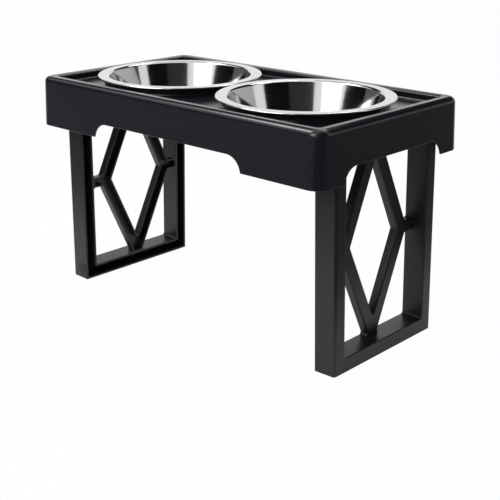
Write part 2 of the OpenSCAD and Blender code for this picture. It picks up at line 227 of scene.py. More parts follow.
class PadSizes(PropertyGroup):
    """Sizes of the round rubber pads."""

    radius: length("Radius", "Radius of a pad", 8)
    edge: length("Edge", "Rounding of a pad's edge", 0.3)
    recess: length("Recess", "Depth of the recess a pad sits in", 1.2)
    proud: length("Proud", "How far a side pad stands out of its recess", 0.8)
    foot: length("Foot", "How far a foot stands out of its recess, before it is cut level", 2)
    end: length("End distance", "Distance of a pad's centre from the end of its post or rail", 15)
    side_depth: length("Side depth", "Distance of a side pad's centre from the open side", 10)
    ring: length("Ring", "Radius of the ring pressed into a pad's face", 4.96)
    ring_width: length("Ring width", "Width of that ring at the pad's face", 0.9)
    ring_depth: length("Ring depth", "Depth of that ring", 0.3)


class Finishes(PropertyGroup):
    """Colours and roughness of the materials."""

    tray_plastic: colour("Tray plastic", "Colour of the tray's moulded polypropylene", "#16181D")
    leg_plastic: colour("Leg plastic", "Colour of the leg frames' moulded polypropylene", "#16191C")
    steel: colour("Steel", "Colour of the bowls' polished stainless steel", "#D2D2D0")
    rubber: colour("Rubber", "Colour of the pads' rubber", "#242526")
    tray_roughness: fraction("Tray roughness", "Roughness of the tray's skin", 0.2)
    leg_roughness: fraction("Leg roughness", "Roughness of the leg frames' skin", 0.36)


class StageSettings(PropertyGroup):
    """Camera and floor round the feeder."""

    target: FloatVectorProperty(
        name="Target",
        description="Point the camera looks at",
        default=(171.69 * MM, -162.72 * MM, 160 * MM),
        subtype="TRANSLATION",
        unit="LENGTH",
    )
    distance: length("Distance", "Distance of the camera from its target", 1132.9)
    azimuth: FloatProperty(
        name="Azimuth",
        description="Turn of the camera round the feeder",
        default=0.7541,
        subtype="ANGLE",
    )
    elevation: FloatProperty(
        name="Elevation",
        description="Height of the camera above the horizon",
        default=0.346,
        subtype="ANGLE",
    )
    lens: FloatProperty(
        name="Lens",
        description="Focal length for the camera's sensor",
        default=71.63,
        min=1,
        unit="CAMERA",
    )
    floor: colour("Floor", "Colour of the floor", "#F2F2F2")


def arc(centre, radius, start, end, steps=EDGE_STEPS):
    """Points along an arc between two angles in degrees."""
    points = []
    for i in range(steps + 1):
        turned = math.radians(start + (end - start) * i / steps)
        points.append((centre[0] + radius * math.cos(turned), centre[1] + radius * math.sin(turned)))
    return points


def rounded(corners, radius, grow=0.0):
    """Outline of a polygon, counter-clockwise, with round corners and its sides moved out by grow."""
    outline = []
    for i, corner in enumerate(corners):
        here = Vector(corner)
        arriving = here - Vector(corners[i - 1])
        leaving = Vector(corners[(i + 1) % len(corners)]) - here
        half = arriving.angle(-leaving) / 2
        inward = (leaving.normalized() - arriving.normalized()).normalized()
        centre = here + inward * radius / math.sin(half)
        side = 1 if arriving.cross(leaving) > 0 else -1
        start = math.degrees(math.atan2(-side * arriving.x, side * arriving.y))
        bend = side * (180 - math.degrees(2 * half))
        outline += arc(centre, radius + side * grow, start, start + bend, CORNER_STEPS)
    return outline


def box_corners(half_x, half_y, middle=(0, 0)):
    """Corners of a rectangle about its middle, counter-clockwise."""
    signs = ((-1, -1), (1, -1), (1, 1), (-1, 1))
    return [(middle[0] + x * half_x, middle[1] + y * half_y) for x, y in signs]


def wall_levels(low, high, low_round, high_round):
    """Heights up a wall and how far each is set back, so that both its ends are rounded."""
    rise = []
    fall = []
    for i in range(EDGE_STEPS + 1):
        turned = math.pi / 2 * i / EDGE_STEPS
        along = 1 - math.cos(turned)
        back = 1 - math.sin(turned)
        rise.append((low + low_round * along, low_round * back))
        fall.insert(0, (high - high_round * along, high_round * back))
    return (rise if low_round else [(low, 0.0)]) + (fall if high_round else [(high, 0.0)])


def join_loops(bm, loops):
    """Faces between loops of vertices that follow each other."""
    for lower, upper in zip(loops, loops[1:]):
        for i in range(len(lower)):
            j = (i + 1) % len(lower)
            bm.faces.new((lower[i], lower[j], upper[j], upper[i]))


def raise_wall(bm, outline_at, levels, place=Matrix.Identity(4)):
    """Wall whose outline is set back by each level's own amount; gives its first and last loop."""
    loops = []
    for z, back in levels:
        loops.append([bm.verts.new(place @ Vector((x, y, z))) for x, y in outline_at(back)])
    join_loops(bm, loops)
    return loops[0], loops[-1]


def fill_between(bm, loops):
    """Flat face inside the first loop and outside the others."""
    verts = [vert for loop in loops for vert in loop]
    edges = []
    for loop in loops:
        for i, vert in enumerate(loop):
            edges.append(bm.edges.get((loop[i - 1], vert)) or bm.edges.new((loop[i - 1], vert)))
    # The fill's own tolerance is too coarse for metres, so it works at a thousand times the size
    bmesh.ops.scale(bm, vec=(1 / MM, 1 / MM, 1 / MM), verts=verts)
    bmesh.ops.triangle_fill(bm, use_beauty=True, edges=edges)
    bmesh.ops.scale(bm, vec=(MM, MM, MM), verts=verts)


def turn(bm, section, middle=(0, 0), steps=TURN_STEPS):
    """Surface of a section of radii and heights turned about an upright axis; gives its loops."""
    loops = []
    last = 360 * (steps - 1) / steps
    for radius, z in section:
        ring = arc(middle, radius, 0, last, steps - 1)
        loops.append([bm.verts.new((x, y, z)) for x, y in ring])
    join_loops(bm, loops)
    return loops


def new_piece(bm, name, material):
    """Object from a mesh, in its material."""
    mesh = bpy.data.meshes.new(name)
    bm.to_mesh(mesh)
    bm.free()
    mesh.materials.append(material)
    piece = bpy.data.objects.new(name, mesh)
    bpy.context.scene.collection.objects.link(piece)
    return piece


def finish_piece(bm, name, material):
    """Object of the feeder from a mesh, smooth with its crisp edges kept."""
    bmesh.ops.recalc_face_normals(bm, faces=bm.faces)
    for face in bm.faces:
        face.smooth = True
    for edge in bm.edges:
        edge.smooth = len(edge.link_faces) == 2 and edge.calc_face_angle() < CRISP_ANGLE
    piece = new_piece(bm, name, material)
    weighted = piece.modifiers.new("Weighted normals", "WEIGHTED_NORMAL")
    weighted.keep_sharp = True
    return piece


def settle(piece, node, body):
    """Puts a piece in the place of its CAD node and on that node's body."""
    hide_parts(node)
    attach(piece, body)


def add_node(tree, kind, inputs=None, **settings):
    """Adds a node, sets its properties, and sets or links its inputs."""
    node = tree.nodes.new(kind)
    for key, value in settings.items():
        setattr(node, key, value)
    for key, value in (inputs or {}).items():
        if isinstance(value, bpy.types.NodeSocket):
            tree.links.new(value, node.inputs[key])
        else:
            node.inputs[key].default_value = value
    return node


def new_material(name):
    """Node material with nothing in its tree, and that tree."""
    material = bpy.data.materials.get(name)
    if material:
        bpy.data.materials.remove(material)
    material = bpy.data.materials.new(name)
    material.use_nodes = True
    material.node_tree.nodes.clear()
    return material, material.node_tree


def noise(tree, place, size, detail):
    """Socket with a noise whose spots are about one size across."""
    inputs = {"Vector": place, "Scale": 1 / size, "Detail": detail}
    return add_node(tree, "ShaderNodeTexNoise", inputs).outputs["Fac"]


def bump(tree, height, strength, depth):
    """Socket with normals that follow a height."""
    inputs = {"Height": height, "Strength": strength, "Distance": depth}
    return add_node(tree, "ShaderNodeBump", inputs).outputs["Normal"]


def spread(tree, value, low, high):
    """Socket with a value from 0 to 1 spread between two limits."""
    inputs = {"Value": value, "To Min": low, "To Max": high}
    return add_node(tree, "ShaderNodeMapRange", inputs).outputs["Result"]


def paled(tree, share, base, factor):
    """Socket with a colour that grows paler with a share, by a factor at most."""
    paler = [min(1.0, channel * factor) for channel in base[:3]] + [1.0]
    inputs = {"Factor": share, 6: list(base), 7: paler}
    return add_node(tree, "ShaderNodeMix", inputs, data_type="RGBA").outputs[2]


def add_skin(tree, inputs):
    """Adds a material's surface and its output."""
    skin = add_node(tree, "ShaderNodeBsdfPrincipled", inputs)
    add_node(tree, "ShaderNodeOutputMaterial", {"Surface": skin.outputs["BSDF"]})


def moulded_polypropylene(name, base, roughness):
    """Black polypropylene from an etched mould: a satin skin with a fine grain, cloudier in patches."""
    material, tree = new_material(name)
    place = add_node(tree, "ShaderNodeTexCoord").outputs["Object"]
    # The etch is about 0.2 mm and is drawn at 0.7 mm, because anything finer doesn't show in the render
    grain = noise(tree, place, size=0.7 * MM, detail=2.0)
    # Flow of the melt leaves patches about 40 mm across that are a little more or less glossy
    flow = noise(tree, place, size=40 * MM, detail=3.0)
    cloud = 0.05
    add_skin(tree, {
        "Base Color": paled(tree, flow, base, factor=1.25),
        "Roughness": spread(tree, flow, low=roughness - cloud, high=roughness + cloud),
        "IOR": 1.49,
        "Normal": bump(tree, grain, strength=0.12, depth=0.05 * MM),
    })
    return material


def polished_stainless(name, base):
    """Stainless steel pressed and polished on a lathe: a mirror with faint rings and rubbed patches."""
    material, tree = new_material(name)
    place = add_node(tree, "ShaderNodeTexCoord").outputs["Object"]
    # Polishing lines are about 0.05 mm apart and are drawn as rings about 5 mm apart, so that they show:
    # the wave turns by 20 radians in 16 mm
    rings = add_node(
        tree,
        "ShaderNodeTexWave",
        {"Vector": place, "Scale": 1 / (16 * MM), "Distortion": 1.5, "Detail": 2.0, "Detail Scale": 1.0},
        wave_type="RINGS",
        rings_direction="Z",
    )
    rubbed = noise(tree, place, size=25 * MM, detail=4.0)
    add_skin(tree, {
        "Base Color": list(base),
        "Metallic": 1.0,
        "Roughness": spread(tree, rubbed, low=0.06, high=0.14),
        "Normal": bump(tree, rings.outputs["Fac"], strength=0.04, depth=0.02 * MM),
    })
    return material


def moulded_rubber(name, base):
    """Moulded rubber: dull and dark, with a fine grit and a grey bloom where it rubs."""
    material, tree = new_material(name)
    place = add_node(tree, "ShaderNodeTexCoord").outputs["Object"]
    # The grit is about 0.1 mm and is drawn at 0.4 mm, so that it shows on pads this small
    grit = noise(tree, place, size=0.4 * MM, detail=2.0)
    bloom = noise(tree, place, size=4 * MM, detail=3.0)
    add_skin(tree, {
        "Base Color": paled(tree, bloom, base, factor=1.6),
        "Roughness": spread(tree, bloom, low=0.65, high=0.8),
        "IOR": 1.52,
        "Normal": bump(tree, grit, strength=0.3, depth=0.05 * MM),
    })
    return material


def skirt_flare(sizes, height):
    """How far the lower edge of the drafted skirt stands out past the rim."""
    heel = height - sizes.rim_outer * (1 + math.sin(sizes.draft))
    return heel * math.tan(sizes.draft) - sizes.rim_outer * (1 - math.cos(sizes.draft))


def side_rises(sizes, arch):
    """Places along one side of the tray between its corners, with the skirt edge's rise at each."""
    drop = sizes.arch_height - sizes.arch_shoulder
    foot = math.degrees(math.asin(-drop / sizes.arch_shoulder))
    shoulder = arc((arch / 2, drop), sizes.arch_shoulder, foot, 90, SHOULDER_STEPS)
    left = [(-along, rise) for along, rise in shoulder]
    return left + [(0.0, sizes.arch_height)] + list(reversed(shoulder))


def tray_loop(sizes, rim, inset, corner, z, follows_arch):
    """Points round the tray at one inset from the rim's outer edge, one corner radius and one height."""
    points = []
    for quarter in range(4):
        at_end = quarter % 2 == 0
        reach, half = (rim.x, rim.y) if at_end else (rim.y, rim.x)
        arch = sizes.short_arch if at_end else sizes.long_arch
        spin = Matrix.Rotation(math.pi / 2 * quarter, 3, "Z")
        for along, rise in side_rises(sizes, arch):
            lift = rise if follows_arch else 0.0
            points.append(spin @ Vector((reach - inset - lift * math.tan(sizes.draft), along, z + lift)))
        centre = (reach - inset - corner, half - inset - corner)
        for x, y in arc(centre, corner, 0, 90, 2 * CORNER_STEPS):
            points.append(spin @ Vector((x, y, z)))
    return points


def with_corners(points, radius, follows_arch=False):
    """Insets and heights with a corner radius at each, from the radius where the inset is 0."""
    return [(inset, radius - inset, z, follows_arch) for inset, z in points]


def skirt_section(sizes, bottom, top):
    """Insets, corner radii and heights from under the rim, round the skirt and over to the deck."""
    deck_top = top - sizes.deck_drop
    crown = (sizes.rim_outer, top - sizes.rim_outer)
    heel = 180 + math.degrees(sizes.draft)
    hollow = sizes.rim_width - sizes.wall
    under = [(hollow, deck_top - sizes.deck_wall), (hollow, top - sizes.wall)]
    inside = arc(crown, sizes.rim_outer - sizes.wall, 90, heel)
    inner = inside[-1][0] - (inside[-1][1] - bottom) * math.tan(sizes.draft)
    outer = -skirt_flare(sizes, top - bottom)
    edge = arc((inner - sizes.edge, bottom + sizes.edge), sizes.edge, 0, -90)
    edge += arc((outer + sizes.edge, bottom + sizes.edge), sizes.edge, -90, -180)
    outside = arc(crown, sizes.rim_outer, heel, 90, 2 * EDGE_STEPS)
    across = sizes.rim_width - sizes.rim_inner - sizes.rim_outer
    rise = math.sqrt((sizes.rim_crown - sizes.rim_inner) ** 2 - across ** 2)
    turn_in = math.degrees(math.atan2(rise, across))
    over = arc((sizes.rim_outer, top - sizes.rim_crown), sizes.rim_crown, 90, turn_in)[1:-1]
    edge_centre = (sizes.rim_width - sizes.rim_inner, top - sizes.rim_crown + rise)
    over += arc(edge_centre, sizes.rim_inner, turn_in, 0)
    fillet_centre = (sizes.rim_width + sizes.deck_fillet, deck_top + sizes.deck_fillet)
    over += arc(fillet_centre, sizes.deck_fillet, 180, 270)
    # The skirt turns about the tray's corners, the rim's inner side about its own smaller ones
    lip = sizes.rim_width + sizes.rim_corner
    section = with_corners(under, lip) + with_corners(inside, sizes.corner_radius)
    section += with_corners(edge, sizes.corner_radius, True)
    return section + with_corners(outside, sizes.corner_radius) + with_corners(over, lip)


def collar_section(sizes, deck_top, top):
    """Radii and heights up the outside of a bowl collar, over its top and down its hole."""
    outer = sizes.hole_radius + sizes.collar_wall
    fillet_centre = (outer + sizes.deck_fillet, deck_top + sizes.deck_fillet)
    section = arc(fillet_centre, sizes.deck_fillet, 270, 180)
    section += arc((outer - sizes.collar_edge, top - sizes.collar_edge), sizes.collar_edge, 0, 90)
    edge_centre = (sizes.hole_radius + sizes.hole_edge, top - sizes.hole_edge)
    section += arc(edge_centre, sizes.hole_edge, 90, 180)
    return section + [(sizes.hole_radius, deck_top - sizes.deck_wall)]


def add_rib(bm, low, high, edge, place=Matrix.Identity(4)):
    """Upright wall or rib between two corners, with its free edges rounded."""
    half = (Vector(high) - Vector(low)) / 2
    middle = (Vector(high) + Vector(low)) / 2

    def outline_at(back):
        return rounded(box_corners(half.x - back, half.y - back, middle), edge)

    first, last = raise_wall(bm, outline_at, wall_levels(low[2], high[2], edge / 2, 0), place)
    bm.faces.new(first)
    bm.faces.new(last)


def add_sockets(bm, sizes, rim, wall, deck_under):
    """Walls and ribs under the deck: leaning sockets at the ends, upright ones along the sides."""
    leg_half = LEG_HIGH.y
    inner = -LEG_DEPTH - sizes.gap - sizes.wall
    half_wall = sizes.wall / 2
    # Ribs that meet the skirt end inside its wall, at least a quarter of it from the outer face
    skin = wall / 4
    reach = rim.x - skin - LEG_TOP.x
    post = leg_half + sizes.post_gap
    for end in (Matrix.Identity(4), HALF_TURN):
        place = end @ LEG_TILT
        for side in (-1, 1):
            cheek = sorted((side * post, side * (post + sizes.wall)))
            low = (inner, cheek[0], -sizes.depth)
            add_rib(bm, low, (reach, cheek[1], sizes.sink), sizes.edge, place)
            grip = sorted((side * (post + half_wall), side * (post + half_wall - sizes.grip)))
            low = (inner, grip[0], -sizes.depth)
            add_rib(bm, low, (inner + sizes.wall, grip[1], sizes.sink), sizes.edge, place)
            for step in (sizes.edge_rib, sizes.inner_rib):
                y = side * (leg_half - step)
                low = (sizes.gap, y - half_wall, -sizes.depth)
                add_rib(bm, low, (reach, y + half_wall, sizes.sink), sizes.edge, place)
    face_y = rim.y - wall - LEG_DEPTH - 2 * sizes.gap
    end_x = LEG_HEIGHT / 2 + sizes.gap
    low_z = deck_under - sizes.depth
    high_z = deck_under + sizes.sink
    for side in (-1, 1):
        long_wall = sorted((side * face_y, side * (face_y - sizes.wall)))
        low = (-end_x - sizes.wall, long_wall[0], low_z)
        add_rib(bm, low, (end_x + sizes.wall, long_wall[1], high_z), sizes.edge)
        stop = sorted((side * (face_y - half_wall), side * (rim.y - skin)))
        for way in (-1, 1):
            x = sorted((way * end_x, way * (end_x + sizes.wall)))
            add_rib(bm, (x[0], stop[0], low_z), (x[1], stop[1], high_z), sizes.edge)
    low = (-half_wall, half_wall - face_y, deck_under - sizes.centre_rib)
    add_rib(bm, low, (half_wall, face_y - half_wall, high_z), sizes.edge)


def pressed_section(sizes, radius, low, high):
    """Radii and heights of a bowl's sheet, from the middle inside over the rolled edge to below."""
    sheet = sizes.sheet
    mouth = radius - sizes.flange_width
    bend = Vector((mouth, high - sheet - sizes.bend))
    base = Vector((sizes.base_diameter / 2, low + sheet + sizes.base_radius))
    span = bend - base
    across = math.acos((sizes.base_radius + sizes.bend + sheet) / span.length)
    lean = math.degrees(across - math.atan2(span.y, span.x))
    bead = sizes.bead / 2
    roll = (radius - bead, high - bead)
    halfway = base.x / 2
    section = [(BOWL_CAP, low + sheet), (halfway, low + sheet)]
    section += arc(base, sizes.base_radius, -90, -lean, BASE_STEPS)
    section += arc(bend, sizes.bend + sheet, 180 - lean, 90, BEND_STEPS)
    section += arc(roll, bead, 90, -180, ROLL_STEPS)
    section += [(roll[0] - bead, high - sheet)]
    section += arc(bend, sizes.bend, 90, 180 - lean, BEND_STEPS)
    section += arc(base, sizes.base_radius + sheet, -lean, -90, BASE_STEPS)
    return section + [(halfway, low), (BOWL_CAP, low)]


def mirrored(points, x, y):
    """Outline mirrored across the axes by signs, kept counter-clockwise."""
    outline = [(x * px, y * py) for px, py in points]
    return outline if x * y > 0 else list(reversed(outline))


def cell_rectangles(sizes, half_x, half_y):
    """Middles and half sizes of the hollow cells between the ribs of the posts and rails."""
    cells = []
    cell_half = sizes.border / 2 - sizes.wall
    open_x = half_x - sizes.border
    open_y = half_y - sizes.border
    half_stub = sizes.stub_height / 2
    half_rib = sizes.wall / 2
    posts = [0, half_stub, (half_stub + open_y) / 2, open_y + half_rib, half_y - half_rib]
    rails = [0, open_x / 3, 2 * open_x / 3, open_x + half_rib]
    for x in (-1, 1):
        for y in (-1, 1):
            for low, high in zip(posts, posts[1:]):
                middle = (x * (half_x - sizes.border / 2), y * (low + high) / 2)
                cells.append((middle, cell_half, (high - low - sizes.wall) / 2))
            for low, high in zip(rails, rails[1:]):
                middle = (x * (low + high) / 2, y * (half_y - sizes.border / 2))
                cells.append((middle, (high - low - sizes.wall) / 2, cell_half))
    return cells


def add_hole(bm, corners, radius, levels):
    """Wall of a hole, wider by the set-back at each level; gives its first and last loop."""
    return raise_wall(bm, lambda back: rounded(corners, radius, back), levels)


def add_moat(bm, bank, island, levels):
    """Hollow between a bank and an island, each given as corners and radius; gives the loops of both."""
    outer = raise_wall(bm, lambda back: rounded(bank[0], bank[1], back), levels)
    inner = raise_wall(bm, lambda back: rounded(island[0], island[1], -back), levels)
    return outer, inner


def add_border(bm, sizes, half_x, half_y):
    """Posts and rails: a deep rectangular ring with a channel and ribbed cells on its open side."""
    # The rails' ends are rounded less than the posts
    thin = sizes.end_edge / sizes.post_edge

    def outline_at(back):
        return rounded(box_corners(half_x - back, half_y - back * thin), sizes.end_edge)

    outer = raise_wall(bm, outline_at, wall_levels(0, LEG_DEPTH, sizes.cell_edge, sizes.post_edge))
    open_x = half_x - sizes.border
    open_y = half_y - sizes.border
    levels = wall_levels(0, LEG_DEPTH, sizes.cell_edge, sizes.opening_edge)
    inner = add_hole(bm, box_corners(open_x, open_y), sizes.opening_round, levels)
    bank = box_corners(half_x - sizes.wall, half_y - sizes.wall)
    island = box_corners(open_x + sizes.wall, open_y + sizes.wall)
    levels = wall_levels(0, sizes.rib_drop, sizes.cell_edge, 0)
    radius = sizes.channel_round
    outside, inside = add_moat(bm, (bank, radius), (island, radius), levels)
    fill_between(bm, [outer[0], outside[0]])
    fill_between(bm, [inside[0], inner[0]])
    mouths = []
    for middle, cell_x, cell_y in cell_rectangles(sizes, half_x, half_y):
        levels = wall_levels(sizes.rib_drop, LEG_DEPTH - sizes.wall, sizes.cell_edge, 0)
        mouth, floor = add_hole(bm, box_corners(cell_x, cell_y, middle), sizes.cell_edge, levels)
        bm.faces.new(floor)
        mouths.append(mouth)
    fill_between(bm, [outside[1], inside[1]] + mouths)
    fill_between(bm, [outer[1], inner[1]])


def slope_top(bm, sizes, half_y):
    """Slopes the top edge on the open side, which leads the frame into its socket."""
    start = half_y - sizes.lead_height
    everything = bm.verts[:] + bm.edges[:] + bm.faces[:]
    bmesh.ops.bisect_plane(bm, geom=everything, plane_co=(0, start, 0), plane_no=(0, 1, 0))
    for vert in bm.verts:
        vert.co.z = max(vert.co.z, sizes.lead_depth * (vert.co.y - start) / sizes.lead_height)


def hollow_corners(sizes, half_x, half_y, open_x, open_y):
    """Corners of the lattice's hollow within a diamond: along the bars, with an arm along each stub."""
    arm = sizes.stub_height / 2 - sizes.bar_wall
    tip = open_y - sizes.bar_wall
    end = open_x - sizes.bar_wall
    arm_x = half_x * (1 - arm / half_y)
    tip_x = half_x * (1 - tip / half_y)
    right = [(tip_x, -tip), (arm_x, -arm), (end, -arm), (end, arm), (arm_x, arm), (tip_x, tip)]
    return right + [(-x, -y) for x, y in right]


def diamond_corners(half_x, half_y):
    """Corners of a diamond, counter-clockwise."""
    return [(half_x, 0), (0, half_y), (-half_x, 0), (0, -half_y)]


def add_lattice(bm, sizes, half_x, half_y):
    """Diamond lattice across the border's opening, with its bars hollow on the open side."""
    open_x = half_x - sizes.border
    open_y = half_y - sizes.border
    in_x = sizes.diamond_width / 2
    steep = sizes.diamond_height / sizes.diamond_width
    slant = math.hypot(1, steep) / steep
    out_x = in_x + sizes.bar_width * slant
    out_y = out_x * steep
    stub = sizes.stub_height / 2
    # The lattice starts just inside the open side, its gaps cut a little into the border, and its plate
    # ends within the border's inner wall, so that no two faces coincide
    low = 0.2 * MM
    sink = 0.4 * MM
    reach = 2.8 * MM
    levels = wall_levels(low, sizes.bar_depth, 0, 0)
    plate = add_hole(bm, box_corners(open_x + reach, open_y + reach), sizes.channel_round, levels)
    levels = wall_levels(low, sizes.bar_depth, sizes.cell_edge, sizes.bar_edge)
    diamond = add_hole(bm, diamond_corners(in_x, in_x * steep), sizes.diamond_round, levels)
    corner = [
        (open_x + sink, stub),
        (open_x + sink, open_y + sink),
        (out_x * (1 - (open_y + sink) / out_y), open_y + sink),
        (out_x * (1 - stub / out_y), stub),
    ]
    gaps = []
    for x in (-1, 1):
        for y in (-1, 1):
            gaps.append(add_hole(bm, mirrored(corner, x, y), sizes.opening_round, levels))
    bank_x = out_x - sizes.bar_wall * slant
    bank = hollow_corners(sizes, bank_x, bank_x * steep, open_x, open_y)
    island_x = in_x + sizes.bar_wall * slant
    island = diamond_corners(island_x, island_x * steep)
    levels = wall_levels(low, sizes.bar_depth - sizes.bar_wall, sizes.cell_edge, 0)
    radius = sizes.diamond_round
    outside, inside = add_moat(bm, (bank, radius), (island, radius + sizes.bar_wall), levels)
    fill_between(bm, [plate[0], outside[0]] + [gap[0] for gap in gaps])
    fill_between(bm, [inside[0], diamond[0]])
    fill_between(bm, [outside[1], inside[1]])
    fill_between(bm, [plate[1], diamond[1]] + [gap[1] for gap in gaps])


def pad_section(sizes, depth):
    """Radii and heights of a round pad of a given depth, with a ring pressed into its face."""
    flat = sizes.radius - sizes.edge
    half = sizes.ring_width / 2
    section = [(PAD_CAP, 0), (flat, 0)]
    section += arc((flat, depth - sizes.edge), sizes.edge, 0, 90)
    # The floor of the ring is half as wide as its mouth
    section += [(sizes.ring + half, depth), (sizes.ring + half / 2, depth - sizes.ring_depth)]
    section += [(sizes.ring - half / 2, depth - sizes.ring_depth), (sizes.ring - half, depth)]
    return section + [(PAD_CAP, depth)]


def add_pad(bm, sizes, depth, place):
    """Round pad whose base sits at the origin of a matrix and whose face looks along its Z axis."""
    loops = turn(bm, pad_section(sizes, depth), steps=PAD_STEPS)
    bm.faces.new(loops[0])
    bm.faces.new(loops[-1])
    bm.transform(place)


class FEEDER_OT_tray(Operator):
    """Builds the moulded tray with its rim, deck, bowl collars and leg sockets"""

    bl_idname = "feeder.tray"
    bl_label = "Tray"

    def execute(self, context):
        sizes = context.scene.feeder_tray
        sockets = context.scene.feeder_sockets
        finishes = context.scene.feeder_finishes
        top = TRAY_HIGH.z - sizes.collar_rise
        deck_top = top - sizes.deck_drop
        bm = bmesh.new()
        flare = skirt_flare(sizes, top - TRAY_LOW.z)
        rim = TRAY_HIGH.xy - Vector((flare, flare))
        loops = []
        for level in skirt_section(sizes, TRAY_LOW.z, top):
            loops.append([bm.verts.new(point) for point in tray_loop(sizes, rim, *level)])
        join_loops(bm, loops)
        bowl_x = (BOWL_LOW.x + BOWL_HIGH.x) / 2
        section = collar_section(sizes, deck_top, TRAY_HIGH.z)
        collars = [turn(bm, section, (x, 0)) for x in (-bowl_x, bowl_x)]
        fill_between(bm, [loops[-1]] + [collar[0] for collar in collars])
        fill_between(bm, [loops[0]] + [collar[-1] for collar in collars])
        add_sockets(bm, sockets, rim, sizes.wall, deck_top - sizes.deck_wall)
        material = moulded_polypropylene(
            "Moulded polypropylene tray", finishes.tray_plastic, finishes.tray_roughness
        )
        piece = finish_piece(bm, "tray_moulding", material)
        settle(piece, "tray", "tray")
        return {"FINISHED"}


class FEEDER_OT_bowls(Operator):
    """Presses the two steel bowls that hang in the tray's collars"""

    bl_idname = "feeder.bowls"
    bl_label = "Bowls"

    def execute(self, context):
        sizes = context.scene.feeder_bowls
        radius = (BOWL_HIGH.x - BOWL_LOW.x) / 2
        middle = (BOWL_LOW.x + BOWL_HIGH.x) / 2
        material = polished_stainless("Polished stainless steel", context.scene.feeder_finishes.steel)
        for side, x in (("left", -middle), ("right", middle)):
            bm = bmesh.new()
            loops = turn(bm, pressed_section(sizes, radius, BOWL_LOW.z, BOWL_HIGH.z))
            bm.faces.new(loops[0])
            bm.faces.new(loops[-1])
            piece = finish_piece(bm, side + "_bowl_pressing", material)
            piece.location.x = x
            context.view_layer.update()
            settle(piece, side + "_bowl", side + "_bowl")
        return {"FINISHED"}


class FEEDER_OT_legs(Operator):
    """Builds the two lattice leg frames that plug into the tray"""

    bl_idname = "feeder.legs"
    bl_label = "Leg frames"

    def execute(self, context):
        sizes = context.scene.feeder_legs
        finishes = context.scene.feeder_finishes
        material = moulded_polypropylene(
            "Moulded polypropylene legs", finishes.leg_plastic, finishes.leg_roughness
        )
        for side, end in (("left", HALF_TURN), ("right", Matrix.Identity(4))):
            bm = bmesh.new()
            add_border(bm, sizes, LEG_HIGH.y, LEG_HEIGHT / 2)
            slope_top(bm, sizes, LEG_HEIGHT / 2)
            add_lattice(bm, sizes, LEG_HIGH.y, LEG_HEIGHT / 2)
            bm.transform(end @ STAND_RIGHT)
            piece = finish_piece(bm, side + "_leg_moulding", material)
            settle(piece, side + "_leg", side + "_leg")
        return {"FINISHED"}


class FEEDER_OT_pads(Operator):
    """Builds the rubber feet under the rails and the rubber pads in the sides of the posts"""

    bl_idname = "feeder.pads"
    bl_label = "Pads"

    def execute(self, context):
        sizes = context.scene.feeder_pads
        material = moulded_rubber("Moulded rubber", context.scene.feeder_finishes.rubber)
        half_x = LEG_HIGH.y
        half_y = LEG_HEIGHT / 2
        out_of_post = Matrix.Rotation(math.pi / 2, 4, "Y")
        out_of_rail = Matrix.Rotation(math.pi / 2, 4, "X")
        for side, end, back in (("left", HALF_TURN, -1), ("right", Matrix.Identity(4), 1)):
            for spot, along in (("front", -back), ("back", back)):
                middle = (along * (half_x - sizes.end), sizes.recess - half_y, LEG_DEPTH / 2)
                base = end @ STAND_RIGHT @ Matrix.Translation(middle)
                bm = bmesh.new()
                add_pad(bm, sizes, sizes.recess + sizes.foot, base @ out_of_rail)
                # The frame leans, so its feet are cut level with the floor
                for vert in bm.verts:
                    vert.co.z = max(vert.co.z, 0.0)
                self.place(bm, side, spot + "_foot", material)
            for spot, up in (("low", -1), ("high", 1)):
                middle = (half_x - sizes.recess, up * (half_y - sizes.end), sizes.side_depth)
                base = end @ STAND_RIGHT @ Matrix.Translation(middle)
                bm = bmesh.new()
                add_pad(bm, sizes, sizes.recess + sizes.proud, base @ out_of_post)
                self.place(bm, side, spot + "_side_pad", material)
        return {"FINISHED"}

    def place(self, bm, side, name, material):
        """Puts one pad in the place of its CAD node."""
        node = side + "_leg_" + name
        piece = finish_piece(bm, node + "_moulding", material)
        settle(piece, node, side + "_leg")


class FEEDER_OT_stage(Operator):
    """Sets the floor, the studio light and the camera"""

    bl_idname = "feeder.stage"
    bl_label = "Stage"

    def execute(self, context):
        settings = context.scene.feeder_stage
        context.scene.view_settings.view_transform = "Standard"
        add_world(context.scene)
        add_floor(settings.floor)
        add_lights()
        add_camera(context.scene, settings)
        return {"FINISHED"}


def largest(tree, first, second):
    """Socket with the larger of two values."""
    return add_node(tree, "ShaderNodeMath", {0: first, 1: second}, operation="MAXIMUM").outputs["Value"]


def scaled(tree, value, factor):
    """Socket with a value times a factor."""
    return add_node(tree, "ShaderNodeMath", {0: value, 1: factor}, operation="MULTIPLY").outputs["Value"]


def background_share(tree, camera_share, mirror_share):
    """Socket with one share for what the camera sees, and one for what a mirror or glass sees."""
    path = add_node(tree, "ShaderNodeLightPath")
    reflected = largest(tree, path.outputs["Is Glossy Ray"], path.outputs["Is Transmission Ray"])
    seen = scaled(tree, path.outputs["Is Camera Ray"], camera_share)
    return largest(tree, seen, scaled(tree, reflected, mirror_share))


def add_world(scene):
    """White surroundings, which light the feeder less than they show."""
    world = bpy.data.worlds.new("Studio")
    scene.world = world
    world.use_nodes = True
    tree = world.node_tree
    tree.nodes.clear()
    share = background_share(tree, camera_share=1.0, mirror_share=1.0)
    strength = spread(tree, share, low=WORLD_LIGHT, high=1.0)
    backdrop = add_node(
        tree, "ShaderNodeBackground", {"Color": (1.0, 1.0, 1.0, 1.0), "Strength": strength}
    )
    add_node(tree, "ShaderNodeOutputWorld", {"Surface": backdrop.outputs["Background"]})


